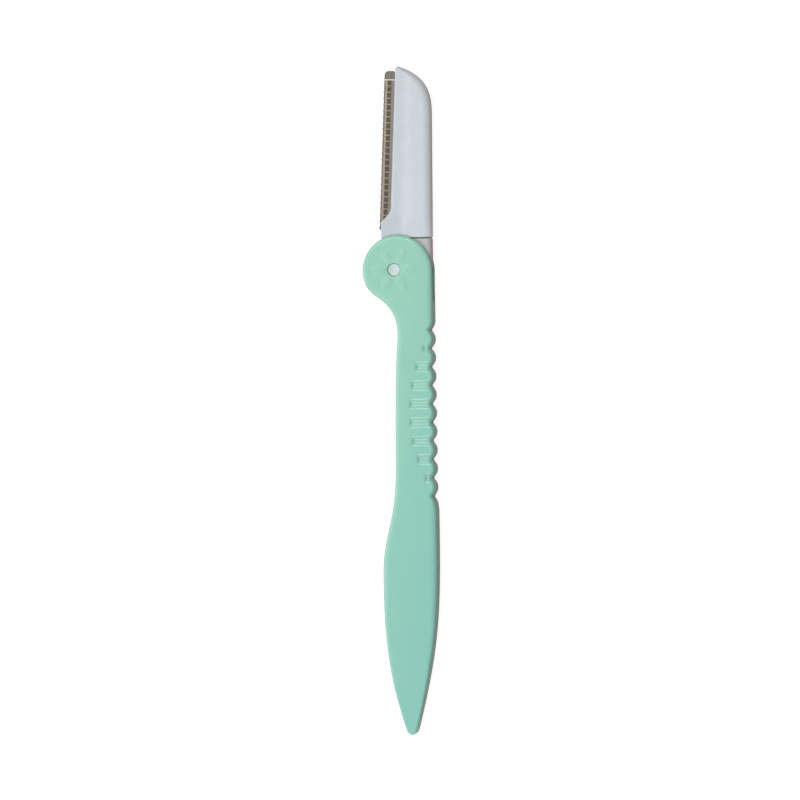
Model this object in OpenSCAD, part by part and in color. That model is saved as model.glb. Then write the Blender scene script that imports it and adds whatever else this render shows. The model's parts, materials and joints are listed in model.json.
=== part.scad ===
// Folding eyebrow razor, drawn open and lying on its back face.
// Millimetres, +Z up. The shapes are drawn about the hinge axis and then moved,
// so that the origin is the middle of the part's footprint. +Y runs to the blade end,
// +X to the back edge, and the cutting edge faces -X.

/* [Handle] */
// Hinge axis to the handle's tip
handle_reach = 114.05; // [92:0.05:140]
// Hinge axis to the back edge
back_reach = 9.4; // [8.6:0.1:12]
// Radius of the knuckle, which runs on from the back edge
knuckle_r = 8.72; // [8.2:0.02:9.4]
// Hinge axis down to the middle of the knuckle
knuckle_drop = 0.2; // [0:0.05:0.4]
// Thickness of each cheek beside the slot
cheek_t = 1; // [0.8:0.05:1.4]
// Thickness at the tip
tip_t = 3.2; // [2:0.1:3.8]
// Height of the handle's rounded long edges
edge_r = 0.95; // [0.4:0.05:1.1]
// Width of those rounded edges
edge_w = 1.6; // [0.5:0.05:1.8]
// Rounding of the edges at the tip
tip_r = 0.45; // [0.3:0.05:0.6]
// Foot of the grip down to where the handle starts to thin
flat_lead = 0.5; // [0.2:0.1:15]

/* [Neck and belly] */
// Front edge of the neck, behind the hinge line
neck_x = 0.45; // [0:0.05:1]
// Hinge axis down to the neck
neck_drop = 16.3; // [14:0.1:19]
// Front edge at the foot of the grip, before the hinge line
waist_x = 0.56; // [0.3:0.02:1.2]
// Hinge axis down to the foot of the grip
waist_drop = 47.2; // [40:0.1:56]
// Front edge of the belly, before the hinge line
belly_x = 4.16; // [3:0.02:6]
// Hinge axis down to the widest place of the belly
belly_drop = 75.4; // [66:0.1:88]
// Back edge below the scallops, behind the hinge line
spear_x = 9.56; // [8.8:0.02:11]
// Middle of the tip, behind the hinge line
tip_x = 2.34; // [1:0.02:3.5]
// Width of the tip where its round end starts
tip_w = 2.9; // [2:0.1:3.4]
// Length of the tip's round end
tip_len = 1.5; // [1.2:0.1:2]

/* [Grip] */
// Scallops along the back edge
scallop_count = 10; // [6:1:12]
// Length of one scallop
scallop_pitch = 4.53; // [3.8:0.01:5.4]
// Depth of the valleys between scallops
scallop_depth = 1.05; // [0.5:0.05:1.3]
// Hinge axis down to the first scallop's crown
scallop_start = 12.6; // [11:0.1:15]
// Radius of the rounded tool that makes the face grooves
groove_r = 1.2; // [0.9:0.05:1.6]
// Depth of the face grooves
groove_depth = 0.45; // [0.25:0.05:0.6]
// Radius of the arc that the grooves' inner ends follow
lens_r = 36; // [28:1:46]
// Back edge to the innermost point of that arc
lens_depth = 6.4; // [5.4:0.1:7.6]

/* [Flower] */
// Petals round the hinge
petal_count = 6; // [5:1:7]
// Length of a petal
petal_len = 3.7; // [3:0.1:4.4]
// Width of a petal
petal_w = 2.5; // [1.8:0.1:2.8]
// Hinge axis to the root of a petal
petal_root = 2; // [1.95:0.05:2.4]
// Height of the petals above the front cheek
petal_h = 0.2; // [0.1:0.05:0.3]

/* [Hinge] */
// Radius of the hinge pin
pin_r = 1.55; // [1.2:0.05:1.65]
// Running clearance of the pin in each cheek
pin_gap = 0.05; // [0.03:0.01:0.1]
// Depth of the pin's ends below the cheeks
pin_recess = 0.3; // [0.1:0.05:0.5]
// Chamfer at the pin's ends and holes
pin_chamfer = 0.2; // [0.1:0.05:0.3]

/* [Slots] */
// Width of the thin slot that the folded blade goes into
nest_w = 1.6; // [1.4:0.05:2]
// Room between the folded blade and that slot's floor
nest_gap = 0.6; // [0.3:0.05:1]
// Length of the same thin slot through the back edge, below the heel
relief_len = 7.8; // [6:0.1:9]

/* [Blade arm] */
// Thickness of the arm between the cheeks
arm_t = 2.6; // [2.3:0.05:3]
// Clearance beside the arm
side_gap = 0.1; // [0.05:0.01:0.15]
// Front edge of the arm, before the hinge line
arm_front = 3.4; // [2.9:0.05:3.8]
// Radius of the hub round the pin
hub_r = 5.2; // [4.4:0.1:5.8]
// Clearance round the hub and at the two stops
stop_gap = 0.1; // [0.05:0.01:0.2]
// Step from the holder's back edge to the arm's
back_step = 0.05; // [0:0.01:0.3]
// Middle of the tongue, behind the hinge line
tongue_x = 4.9; // [4.6:0.1:5.4]
// Width of the tongue that carries the holder
tongue_w = 4; // [3:0.1:4.4]
// Length of the tongue
tongue_len = 8; // [6:0.1:12]
// Thickness of the tongue
tongue_t = 1.5; // [1.2:0.05:1.8]
// Radius of the snap rib on the tongue
rib_r = 0.3; // [0.2:0.05:0.4]

/* [Blade holder] */
// Hinge axis up to the seam between arm and holder
seam_y = 7.7; // [7.5:0.05:8.4]
// Open width of that seam
seam_gap = 0.2; // [0.1:0.02:0.3]
// Hinge axis to the holder's back edge at the seam
head_back = 9.4; // [8.8:0.05:9.6]
// How far the holder's back edge leans out at its shoulder
head_lean = 0.28; // [0:0.02:0.4]
// Length of the holder's curved crown
crown_len = 12.2; // [9:0.1:14]
// Top of the crown, behind the hinge line
crown_x = 1.5; // [1:0.05:2.4]
// Rounding of the crown's top, where it meets the nose
peak_r = 0.75; // [0.5:0.05:0.9]
// Rounding of the holder's back and crown
rim_r = 1.6; // [1.1:0.05:1.65]
// Rounding of the holder's nose beside the blade
nose_r = 0.95; // [0.6:0.05:1]
// Thickness at the back
holder_t = 3.4; // [2.9:0.1:3.9]
// Thickness beside the blade
front_t = 2; // [1.7:0.1:2.3]
// Width of the thick band along the back edge
band_w = 5.1; // [4:0.1:5.6]
// Height of the holder's tip above the blade
tip_cover = 0.95; // [0.8:0.05:2]
// Hinge axis up to the end of the block's front edge
block_top = 11.75; // [11:0.05:12.5]
// Height of the slant above the block's front edge
slant_h = 2.4; // [1.8:0.1:3.2]
// Hinge axis up to the start of the ramp from arm to full thickness
ramp_y = 8.8; // [8.6:0.05:9.4]
// Length of that ramp
ramp_len = 4; // [3:0.1:6]
// Clearance round the tongue in its socket
socket_gap = 0.06; // [0.03:0.01:0.12]

/* [Blade and guard] */
// Length of the blade
blade_len = 39.45; // [34:0.05:45]
// Width of the blade
blade_w = 5.6; // [5:0.1:6]
// Thickness of the blade
blade_t = 0.25; // [0.2:0.01:0.35]
// Width of the ground bevels
bevel_w = 0.65; // [0.4:0.05:1]
// Width of blade that stands out of the holder
blade_show = 2.65; // [2.4:0.05:3]
// How far the cutting edge's upper end stands behind its foot
blade_lean = 1.96; // [1.4:0.02:2.4]
// Rounding of the blade's corners at the cutting edge
corner_r = 1.15; // [0.6:0.05:1.3]
// Rounding of the blade's upper end beside the holder
end_r = 0.55; // [0.3:0.05:0.8]
// Radius of the pegs that hold the blade
peg_r = 0.55; // [0.4:0.05:0.6]
// Cutting edge at the blade's foot, before the hinge line
edge_x = 3.93; // [3.8:0.01:4.2]
// Hinge axis up to the blade's foot
blade_foot = 9.6; // [9.4:0.05:10.4]
// Thickness of the guard's foil
foil_t = 0.1; // [0.08:0.01:0.14]
// Clearance between pieces that are pressed together
fit_gap = 0.01; // [0.01:0.005:0.02]
// Clearance between foil and blade
foil_gap = 0.02; // [0.01:0.01:0.03]
// Depth of the guard's legs inside the holder
leg_grip = 0.8; // [0.5:0.05:1]
// Distance from one guard bar to the next
bar_pitch = 1.51; // [1.2:0.01:1.8]
// Width of a guard bar
bar_w = 0.32; // [0.25:0.01:0.5]
// Depth of the guard's windows from the edge
window_w = 1.9; // [1.5:0.05:2.2]
// Bare blade above the guard
bare_top = 2.05; // [1.3:0.05:2.6]

/* [Hidden] */

cut = 2;            // overrun of every cut
far = 30;           // reach of open-ended cuts
fine = 48;          // facets of round cuts
slot_w = arm_t + 2 * side_gap;
handle_t = slot_w + 2 * cheek_t;
half_t = handle_t / 2;
lean = asin(blade_lean / blade_len);
blade_end = blade_foot + blade_len * cos(lean);
head_top = blade_end + tip_cover;
shoulder_x = head_back + head_lean;
knuckle_x = back_reach - knuckle_r;
mid_x = (max(back_reach, spear_x, shoulder_x) + knuckle_x - knuckle_r) / 2;
mid_y = (head_top - handle_reach) / 2;

// Curves. A share is a part of the size it multiplies.
function blend(a, b, share) = a + (b - a) * share;
function unit(v) = v / norm(v);
function bezier(a, b, c, d, count) = [
    for (i = [0 : count - 1]) let (s = i / count, r = 1 - s)
        r * r * r * a + 3 * r * r * s * b + 3 * r * s * s * c + s * s * s * d
];
function knuckle_place(a) = knuckle_r * [cos(a), sin(a)] + [knuckle_x, -knuckle_drop];

// Outline of the handle: up the scallops, round the knuckle, down the front edge.
neck_turn_share = 0.549;    // of a full turn: where the knuckle gives way to the neck
neck_lead_share = 0.585;
neck_pull_share = 0.594;
grip_shares = [0.05, 0.1, 0.75];
belly_shares = [0.55, 0.6];
nose_shares = [0.28, 0.59, 0];
back_shares = [0.454, 0.6, 0.9];
tip_side_share = 0.3;
valley_start_share = 0.84;  // of a scallop's half length: where its valley rounds
valley_soft_share = 5.5;
scallop_ease = 0.9;         // back edge from the last scallop's crown out to the spear
spear_lead = 4.1;           // straight back edge below the last scallop
stations = 14;              // sections between the grip and the tip
knuckle_steps = 24;

neck_turn = 360 * neck_turn_share;
neck = [neck_x, -neck_drop];
waist = [-waist_x, -waist_drop];
belly = [-belly_x, -belly_drop];
tip_top = tip_len - handle_reach;
tip_front = [tip_x - tip_w / 2, tip_top];
tip_back = [tip_x + tip_w / 2, tip_top];
tip_bottom = -handle_reach - tip_len / 3;
neck_from = knuckle_place(neck_turn);
neck_way = [-sin(neck_turn), cos(neck_turn)];
scallop_end = scallop_start + scallop_count * scallop_pitch;
flat_len = scallop_end + flat_lead;
spear_top = [spear_x, -scallop_end - spear_lead];

neck_curve = bezier(
    neck_from,
    neck_from + neck_way * neck_lead_share * knuckle_r,
    [neck.x, neck.y + neck_pull_share * neck_drop],
    neck, 12);
grip_curve = bezier(
    neck,
    [neck.x, blend(neck.y, waist.y, grip_shares[0])],
    [blend(neck.x, waist.x, grip_shares[2]), blend(neck.y, waist.y, grip_shares[1])],
    waist, 8);
belly_curve = bezier(
    waist,
    [waist.x, blend(waist.y, belly.y, belly_shares[0])],
    [belly.x, blend(waist.y, belly.y, belly_shares[1])],
    belly, 24);
nose_curve = bezier(
    belly,
    [belly.x, blend(belly.y, tip_front.y, nose_shares[0])],
    [blend(belly.x, tip_front.x, nose_shares[2]), blend(belly.y, tip_front.y, nose_shares[1])],
    tip_front, 24);
tip_curve = bezier(
    tip_front,
    [blend(tip_front.x, tip_x, tip_side_share), tip_bottom],
    [blend(tip_back.x, tip_x, tip_side_share), tip_bottom],
    tip_back, 8);
back_curve = bezier(
    tip_back,
    [blend(tip_back.x, spear_top.x, back_shares[2]), blend(spear_top.y, tip_top, back_shares[1])],
    [spear_top.x, blend(spear_top.y, tip_top, back_shares[0])],
    spear_top, 24);

function table(points) = [for (p = points) [p.y, p.x]];
front_table = table(concat(belly_curve, nose_curve, [tip_front]));
back_table = table(concat(back_curve, [
    spear_top,
    [spear_x, -scallop_end - scallop_ease],
    [back_reach, -scallop_end]
]));
function front_at(y) = [lookup(y, front_table), y];
function back_at(y) = [lookup(y, back_table), y];

function scallop(share) = let (a = 2 * abs(share))
    a * a - valley_soft_share * pow(max(0, a - valley_start_share), 2);
scallop_curve = [
    for (i = [0 : scallop_count - 1], k = [0 : 7])
        let (w = k / 8, v = w > 0.5 ? w - 1 : w)
            [back_reach - scallop_depth * scallop(v), -scallop_end + (i + w) * scallop_pitch]
];
upper_outline = concat(
    [back_at(-flat_len)],
    scallop_curve,
    [[back_reach, -scallop_start]],
    [for (i = [0 : knuckle_steps - 1]) knuckle_place(neck_turn * i / knuckle_steps)],
    neck_curve,
    grip_curve,
    [for (p = belly_curve) if (p.y > -flat_len) p],
    [front_at(-flat_len)]
);
station_y = [for (k = [1 : stations]) blend(-flat_len, tip_top, k / stations)];

// Half thickness: full down to flat_len, then thinner to the tip.
taper_shares = [0.35, 0.75, 0.5];
taper_table = concat(
    bezier(
        [-flat_len, half_t],
        [blend(-flat_len, tip_top, taper_shares[0]), half_t],
        [blend(-flat_len, tip_top, taper_shares[1]), blend(half_t, tip_t / 2, taper_shares[2])],
        [tip_top, tip_t / 2], 24),
    [[tip_top, tip_t / 2]]);

// The handle before its slots: a plate with rounded edges and caps that follow the taper.
module handle_blank() {
    points = concat(
        upper_outline,
        [for (y = station_y) front_at(y)],
        [for (i = [1 : 7]) tip_curve[i]],
        [for (k = [stations - 1 : -1 : 0]) back_at(station_y[k])]
    );
    n = len(points);
    upper = len(upper_outline);
    halves = [for (p = points) lookup(max(tip_top, min(-flat_len, p.y)), taper_table)];
    radii = [for (p = points) lookup(p.y, [[tip_top, tip_r], [belly.y, edge_r]])];
    widths = [for (p = points) lookup(p.y, [[tip_top, tip_r], [belly.y, edge_w]])];
    inward = [
        for (i = [0 : n - 1])
            let (a = unit(points[i] - points[(i + n - 1) % n]),
                 b = unit(points[(i + 1) % n] - points[i]),
                 d = unit(a + b))
                [-d.y, d.x]
    ];
    steps = 3;
    rims = concat(
        [for (k = [steps : -1 : 0]) [-1, 90 * k / steps]],
        [for (k = [0 : steps]) [1, 90 * k / steps]]
    );
    rings = [
        for (rim = rims)
            [for (i = [0 : n - 1])
                let (p = points[i] + inward[i] * widths[i] * (1 - cos(rim[1])),
                     z = halves[i] - radii[i] * (1 - sin(rim[1])))
                    [p.x, p.y, rim[0] * z]]
    ];
    top = (len(rings) - 1) * n;
    front_of = function (k) upper - 1 + k;
    back_of = function (k) (n - k) % n;
    polyhedron(
        points = [for (r = rings, p = r) p],
        faces = concat(
            [[for (i = [0 : upper - 1]) i]],
            [[for (i = [upper - 1 : -1 : 0]) top + i]],
            [for (k = [0 : stations - 1]) [front_of(k), back_of(k + 1), back_of(k)]],
            [for (k = [0 : stations - 1]) [front_of(k), front_of(k + 1), back_of(k + 1)]],
            [for (k = [0 : stations - 1]) [top + front_of(k), top + back_of(k), top + back_of(k + 1)]],
            [for (k = [0 : stations - 1]) [top + front_of(k), top + back_of(k + 1), top + front_of(k + 1)]],
            [[for (i = [front_of(stations) : back_of(stations)]) i]],
            [[for (i = [back_of(stations) : -1 : front_of(stations)]) top + i]],
            [for (r = [0 : len(rings) - 2], i = [0 : n - 1])
                let (j = (i + 1) % n) [r * n + i, (r + 1) * n + i, (r + 1) * n + j]],
            [for (r = [0 : len(rings) - 2], i = [0 : n - 1])
                let (j = (i + 1) % n) [r * n + i, (r + 1) * n + j, r * n + j]]
        )
    );
}

// Slots. The fork clears the arm and the holder's block as they swing to the folded
// position; the thin slot takes the folded blade.
slant_x = edge_x - blade_show;      // foot of the holder's nose, before the hinge line
sweep_r = norm([arm_front, block_top]) + slant_h;
module fork_slot() {
    linear_extrude(slot_w, center = true) {
        translate([-far, -stop_gap]) square([2 * far, far]);
        circle(hub_r + stop_gap, $fn = fine);
        intersection() {
            circle(sweep_r, $fn = fine);
            translate([-far, -far]) square([far + arm_front + stop_gap, far]);
        }
    }
}
module nest_plan(depth) {
    low = -head_top - nest_gap;
    polygon([
        [-far, 0],
        [depth, 0],
        [depth, -blade_foot],
        [depth - blade_lean, -blade_end],
        [depth - blade_lean, low],
        [-far, low]
    ]);
}
module nest_slot() {
    linear_extrude(nest_w, center = true) {
        nest_plan(edge_x + nest_gap);
        translate([0, -relief_len]) square([far, relief_len]);
    }
    linear_extrude(front_t + 2 * side_gap, center = true) nest_plan(slant_x + stop_gap);
}

// Face grooves, one for each inner valley, from an arc to the back edge. The tool is a
// turned bar with a round nose.
module groove_tool() {
    rotate([0, 90, 0])
        rotate_extrude($fn = 12)
            polygon(concat(
                [for (k = [0 : 4]) groove_r * [sin(90 * k / 4), -cos(90 * k / 4)]],
                [[groove_r, far], [0, far]]
            ));
}
module face_grooves() {
    lens_mid = (scallop_start + scallop_end) / 2;
    for (i = [1 : scallop_count - 2]) {
        y = -scallop_start - (i + 1 / 2) * scallop_pitch;
        reach = lens_depth - lens_r + sqrt(lens_r * lens_r - pow(y + lens_mid, 2));
        for (side = [-1, 1])
            translate([back_reach - reach + groove_r, y, side * (half_t - groove_depth + groove_r)])
                groove_tool();
    }
}

// A petal is the overlap of two circles, raised above the front cheek with a soft crest.
petal_r = (petal_len * petal_len + petal_w * petal_w) / (4 * petal_w);
petal_crest_share = 0.55;   // of a petal's plan: what is left of it at the crest
module petal_plan() {
    intersection_for (s = [-1, 1])
        translate([0, s * (petal_r - petal_w / 2)]) circle(petal_r, $fn = 60);
}
module petals() {
    for (i = [0 : petal_count - 1])
        rotate(i * 360 / petal_count)
            translate([petal_root + petal_len / 2, 0, half_t - petal_h])
                linear_extrude(2 * petal_h, scale = petal_crest_share) petal_plan();
}
module pin_hole() {
    r = pin_r + pin_gap;
    cylinder(handle_t + cut, r = r, center = true, $fn = fine);
    for (side = [0, 1])
        mirror([0, 0, side])
            translate([0, 0, half_t - pin_chamfer])
                cylinder(2 * pin_chamfer, r1 = r, r2 = r + 2 * pin_chamfer, $fn = fine);
}
// The moulded handle is one faceted solid, and the pin's holes are cut in it last, as bores.
module handle() {
    color([0.60, 0.84, 0.76])
        difference() {
            resize([0, 0, 0])
                union() {
                    difference() {
                        handle_blank();
                        fork_slot();
                        nest_slot();
                        face_grooves();
                    }
                    petals();
                }
            pin_hole();
        }
}

// Hinge pin, held by the arm and free to turn in the cheeks.
module hinge_pin() {
    half = half_t - pin_recess;
    color([0.93, 0.94, 0.94])
        rotate_extrude($fn = fine)
            polygon([
                [0, -half],
                [pin_r - pin_chamfer, -half],
                [pin_r, pin_chamfer - half],
                [pin_r, half - pin_chamfer],
                [pin_r - pin_chamfer, half],
                [0, half]
            ]);
}

// Arm between the cheeks: a hub, a square heel that stops the opening, and the tongue.
arm_back = head_back - back_step;
arm_top = seam_y - seam_gap / 2;
rib_share = 0.7;            // of the tongue's length: where its snap rib is
module snap_ribs(r) {
    for (side = [-1, 1])
        translate([tongue_x, seam_y + rib_share * tongue_len, side * tongue_t / 2])
            rotate([0, 90, 0]) cylinder(tongue_w, r = r, center = true, $fn = fine);
}
module blade_arm() {
    color([0.90, 0.91, 0.92])
        difference() {
            union() {
                linear_extrude(arm_t, center = true) {
                    circle(hub_r, $fn = fine);
                    translate([-arm_front, 0]) square([arm_front + arm_back - arm_t / 2, arm_top]);
                }
                translate([arm_back - arm_t / 2, arm_top])
                    rotate([90, 0, 0]) cylinder(arm_top, r = arm_t / 2, $fn = fine);
                linear_extrude(tongue_t, center = true)
                    translate([tongue_x - tongue_w / 2, 0]) square([tongue_w, seam_y + tongue_len]);
                snap_ribs(rib_r);
            }
            cylinder(arm_t + cut, r = pin_r + fit_gap, center = true, $fn = fine);
        }
}

// Places in the blade's own frame: along its width from the edge, and up from its foot.
module at_blade() {
    translate([-edge_x, blade_foot]) rotate(-lean) children();
}
function blade_place(u, v) = [
    u * cos(lean) + v * sin(lean) - edge_x,
    v * cos(lean) - u * sin(lean) + blade_foot
];
peg_shares = [0.14, 0.5, 0.86];     // of the blade's length
peg_inset = 1.05;                   // pegs to the blade's inner edge
module pegs(r, h) {
    for (share = peg_shares)
        translate([blade_w - peg_inset, share * blade_len])
            cylinder(h, r = r, center = true, $fn = 24);
}
module foot_plan(w, l) {
    translate([corner_r, 0]) square([w - corner_r, l]);
    translate([0, corner_r]) square([w, l - corner_r]);
    translate([corner_r, corner_r]) circle(corner_r, $fn = fine);
}
module blade_plan() {
    foot_plan(blade_w, blade_len - corner_r);
    translate([corner_r, blade_len - corner_r]) circle(corner_r, $fn = fine);
    translate([corner_r, blade_len - corner_r])
        square([blade_show - end_r - corner_r, corner_r]);
    translate([corner_r, blade_len - corner_r])
        square([blade_show - corner_r, corner_r - end_r]);
    translate([blade_show - end_r, blade_len - end_r]) circle(end_r, $fn = fine);
}

// Holder: a wedge, thin beside the blade and thick along a rounded back and crown.
module button(r, h, soft) {
    arc = [for (k = [0 : 4]) 90 * k / 4];
    rotate_extrude($fn = 32)
        polygon(concat(
            [[0, -h / 2]],
            [for (a = arc) [r - soft * (1 - sin(a)), soft * (1 - cos(a)) - h / 2]],
            [for (a = arc) [r - soft * (1 - cos(a)), h / 2 - soft * (1 - sin(a))]],
            [[0, h / 2]]
        ));
}
rim_soft_share = 0.94;      // of the rim's radius: how much of it is rounded
crown_steps = 12;
crown_fall_share = 0.225;     // of the crown's length
crown_shares = [0.99, 0.33];
crown_top = [crown_x, head_top];
crown_foot = [shoulder_x, head_top - crown_len];
crown_curve = concat(
    bezier(
        crown_top,
        [blend(crown_x, shoulder_x, crown_shares[0]), head_top - crown_fall_share * crown_len],
        [shoulder_x, blend(head_top - crown_len, head_top, crown_shares[1])],
        crown_foot, crown_steps),
    [crown_foot]);
function crown_way(i) = i == 0 ? [1, 0]
    : unit(crown_curve[min(i + 1, crown_steps)] - crown_curve[i - 1]);
function wedge_t(x) = let (crease = shoulder_x - band_w, thin = crown_x + nose_r)
    blend(front_t, holder_t, max(0, min(1, (x - thin) / (crease - thin))));
module holder_wedge() {
    low = seam_y - cut;
    soft = rim_soft_share * rim_r;
    nose_top = (crown_foot.y - blade_foot) / cos(lean);
    hull() {
        translate([head_back - rim_r, low]) button(rim_r, holder_t, soft);
        for (i = [0 : crown_steps])
            let (r = blend(peak_r, rim_r, min(1, 3 * i / crown_steps)),
                 way = crown_way(i),
                 p = crown_curve[i] + r * [way.y, -way.x])
                translate(p) button(r, wedge_t(p.x), rim_soft_share * min(r, wedge_t(p.x) / 2));
        for (v = [low - blade_foot, nose_top])
            translate(blade_place(blade_show + nose_r, v))
                button(nose_r, front_t, rim_soft_share * nose_r);
        translate([head_back - band_w, low]) button(nose_r, holder_t, nose_r / 2);
        translate([shoulder_x - band_w, crown_foot.y]) button(nose_r, holder_t, nose_r / 2);
    }
}
module holder_block() {
    r = nose_r / 2;
    low = seam_y - cut;
    hull() {
        translate([r - arm_front, low]) button(r, arm_t, r / 2);
        translate([r - arm_front, block_top - r]) button(r, arm_t, r / 2);
        translate([2 * r - slant_x, block_top + slant_h - 2 * r]) button(r, arm_t, r / 2);
        translate([tongue_x, low]) button(r, arm_t, r / 2);
        translate([tongue_x, block_top]) button(r, arm_t, r / 2);
    }
}
module ramp_prism() {
    rotate([90, 0, 90])
        linear_extrude(2 * far, center = true)
            polygon([
                [seam_y - 2 * cut, -arm_t / 2],
                [ramp_y, -arm_t / 2],
                [ramp_y + ramp_len, -holder_t / 2],
                [head_top + cut, -holder_t / 2],
                [head_top + cut, holder_t / 2],
                [ramp_y + ramp_len, holder_t / 2],
                [ramp_y, arm_t / 2],
                [seam_y - 2 * cut, arm_t / 2]
            ]);
}
module socket() {
    w = tongue_w + 2 * socket_gap;
    l = tongue_len + socket_gap;
    translate([tongue_x - w / 2, seam_y - cut, -tongue_t / 2 - socket_gap])
        cube([w, l + cut, tongue_t + 2 * socket_gap]);
    snap_ribs(rib_r + socket_gap);
}
module blade_holder() {
    t = blade_t + 2 * fit_gap;
    leg_t = blade_t + 2 * (foil_gap + foil_t + fit_gap);
    color([0.92, 0.93, 0.94])
        difference() {
            union() {
                intersection() {
                    holder_wedge();
                    ramp_prism();
                }
                holder_block();
            }
            translate([-far, seam_y + seam_gap / 2 - far, -far]) cube([2 * far, far, 2 * far]);
            socket();
            at_blade() {
                difference() {
                    translate([-cut, -fit_gap, -t / 2])
                        cube([cut + blade_w + fit_gap, blade_len + 2 * fit_gap, t]);
                    pegs(peg_r, cut);
                }
                translate([-cut, -fit_gap, -leg_t / 2])
                    cube([cut + blade_show + leg_grip, blade_len + 2 * fit_gap, leg_t]);
            }
        }
}

// Blade: a flat strip, ground from both faces, with holes for the pegs.
module blade() {
    color([0.72, 0.72, 0.70])
        at_blade()
            difference() {
                intersection() {
                    translate([0, 0, -cut])
                        linear_extrude(2 * cut) blade_plan();
                    translate([0, blade_len])
                        rotate([90, 0, 0])
                            linear_extrude(blade_len)
                                polygon([
                                    [0, 0],
                                    [bevel_w, -blade_t / 2],
                                    [blade_w, -blade_t / 2],
                                    [blade_w, blade_t / 2],
                                    [bevel_w, blade_t / 2]
                                ]);
                }
                pegs(peg_r + fit_gap, cut);
            }
}

// Guard: foil folded round the cutting edge, with a row of windows.
module guard_section(r) {
    bend = blade_t / 2;
    translate([bend, 0]) circle(r, $fn = fine);
    translate([bend, -r]) square([blade_show + leg_grip - bend, 2 * r]);
}
module blade_guard() {
    inner = blade_t / 2 + foil_gap;
    outer = inner + foil_t;
    window_h = bar_pitch - bar_w;
    guard_len = blade_len - bare_top;
    windows = floor((guard_len - bar_w) / bar_pitch);
    color([0.66, 0.65, 0.62])
        at_blade()
            difference() {
                intersection() {
                    translate([-foil_gap - foil_t, 0, -cut])
                        linear_extrude(2 * cut) foot_plan(blade_w, guard_len);
                    translate([0, guard_len])
                        rotate([90, 0, 0])
                            linear_extrude(guard_len)
                                difference() {
                                    guard_section(outer);
                                    guard_section(inner);
                                    translate([blade_show, -inner]) square([blade_w, 2 * inner]);
                                }
                }
                for (i = [0 : windows - 1])
                    translate([-cut, guard_len - i * bar_pitch - bar_pitch, -cut])
                        cube([cut + window_w, window_h, 2 * cut]);
            }
}

module placed() {
    translate([-mid_x, -mid_y, half_t]) children();
}
placed() handle();
placed() hinge_pin();
placed() blade_arm();
placed() blade_holder();
placed() blade();
placed() blade_guard();
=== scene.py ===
"""Looks of the folding eyebrow razor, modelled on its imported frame.

The moulded pieces, which are the handle, the arm, the holder and the hinge pin, are drawn as
fields of distances in millimetres about the hinge axis, so that every edge, groove and slot
gets the soft radius of a real moulding, and are turned into meshes by surface nets. The blade
and its guard keep their exact frame solids and only get a better finish.
"""

import json
import logging
import math
from collections.abc import Sequence
from dataclasses import dataclass
from enum import Enum

import bpy
import numpy as np
from mathutils import Matrix, Vector


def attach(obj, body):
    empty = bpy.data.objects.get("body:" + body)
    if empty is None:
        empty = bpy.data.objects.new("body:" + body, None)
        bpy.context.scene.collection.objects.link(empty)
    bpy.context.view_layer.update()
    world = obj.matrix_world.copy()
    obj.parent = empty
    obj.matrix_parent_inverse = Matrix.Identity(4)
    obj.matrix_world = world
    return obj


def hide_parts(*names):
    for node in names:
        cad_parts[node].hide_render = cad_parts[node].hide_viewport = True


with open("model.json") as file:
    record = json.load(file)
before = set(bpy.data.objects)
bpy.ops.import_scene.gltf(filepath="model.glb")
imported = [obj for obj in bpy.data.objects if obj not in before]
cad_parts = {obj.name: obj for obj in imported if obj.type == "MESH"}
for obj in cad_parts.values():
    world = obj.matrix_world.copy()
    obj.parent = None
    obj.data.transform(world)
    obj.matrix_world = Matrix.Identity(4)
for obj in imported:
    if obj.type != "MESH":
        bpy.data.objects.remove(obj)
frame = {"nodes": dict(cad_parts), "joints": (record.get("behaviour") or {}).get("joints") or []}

LOG = logging.getLogger("razor")

MM = 0.001                      # one millimetre in metres
FULL_TURN = 360.0               # degrees
FAR = 1e9                       # larger than any squared distance here
TINY = 1e-9                     # keeps a division safe
HINGE = next(joint for joint in frame["joints"] if joint["name"] == "head_fold")["pos_m"]

Field = np.ndarray
Value = float | np.ndarray
Point = tuple[float, float]
Place = tuple[float, float, float]


class Body(Enum):
    """Rigid bodies of the frame."""

    HANDLE = "handle"
    HEAD = "head"


class Slot(Enum):
    """Names of the record's material slots for the moulded pieces."""

    HANDLE = "handle_plastic"
    HEAD = "head_plastic"


# Fields of distances

def smooth_max(a: Field, b: Field, k: float) -> Field:
    """Keeps what two shapes share, and rounds the edge between them.

    Args:
        a: field of the first shape, in millimetres.
        b: field of the second shape.
        k: width of the rounding in millimetres.

    Returns:
        The field of the part that both shapes share.
    """
    near = np.maximum(k - np.abs(a - b), 0.0) / k
    return np.maximum(a, b) + near * near * k * 0.25


def smooth_min(a: Field, b: Field, k: float) -> Field:
    """Joins two shapes, with a soft fillet of width k between them."""
    return -smooth_max(-a, -b, k)


def smooth_step(value: Value, low: Value, high: Value) -> Value:
    """Rises softly from 0 at low to 1 at high."""
    share = np.clip((value - low) / (high - low), 0.0, 1.0)
    return share * share * (3.0 - 2.0 * share)


def blend(a: Value, b: Value, share: Value) -> Value:
    """Value at a share of the way from a to b."""
    return a + (b - a) * share


def rounded_slab(plan: Field, height: Field, wide: Value, high: Value) -> Field:
    """Field of a plate with rounded edges.

    Args:
        plan: distance to the plate's outline, negative inside.
        height: distance above the plate's face, negative inside.
        wide: width of the rounding, measured across the face.
        high: height of the rounding, measured down the side.

    Returns:
        The plate's field.
    """
    q_plan = plan / wide + 1.0
    q_height = height / high + 1.0
    outside = np.hypot(np.maximum(q_plan, 0.0), np.maximum(q_height, 0.0))
    inside = np.minimum(np.maximum(q_plan, q_height), 0.0)
    return (outside + inside - 1.0) * np.minimum(wide, high)


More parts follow.
